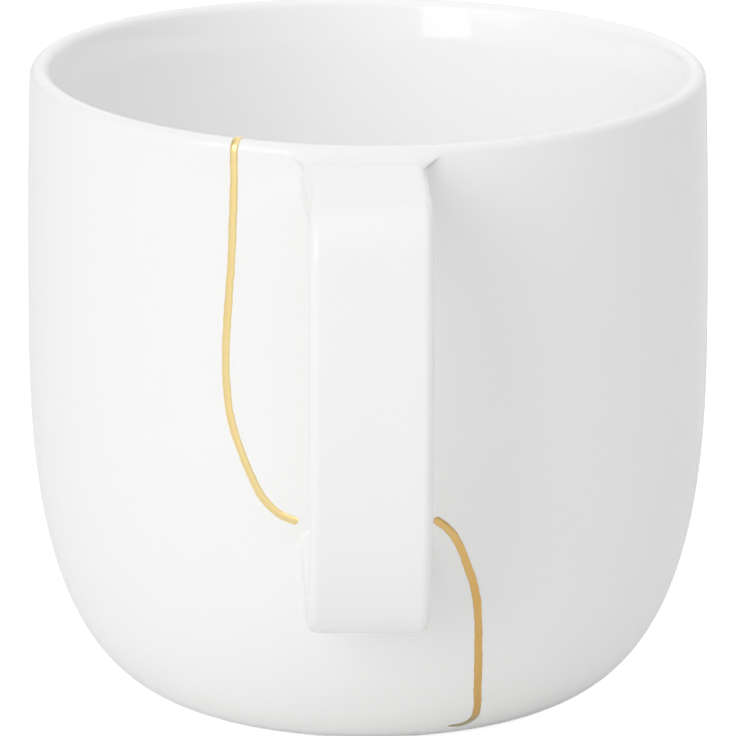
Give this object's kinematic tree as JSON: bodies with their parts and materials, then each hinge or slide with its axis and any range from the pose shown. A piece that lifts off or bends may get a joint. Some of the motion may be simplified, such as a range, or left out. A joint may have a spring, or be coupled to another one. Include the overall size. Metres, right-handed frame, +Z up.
{
  "type": "kintsugi cup",
  "caption": "Handled porcelain cup with a crack mended in gold: the line runs over the lip, down the wall, through the handle's root and on to the base.",
  "frame": {"origin": "under the middle of the whole piece, handle included, in the plane the foot ring stands on; the bowl's own upright axis is 13 mm to +Y of it", "axes": "+Z up, -Y the way the handle points, +X to the right of someone who faces the handle"},
  "size_m": [0.09, 0.116, 0.085],
  "materials": {
    "glazed_porcelain": null,
    "gold_lacquer": null
  },
  "bodies": {
    "root": {"cup": "glazed_porcelain", "gold_seam_over_rim": "gold_lacquer", "gold_seam_to_base": "gold_lacquer"}
  },
  "joints": []
}
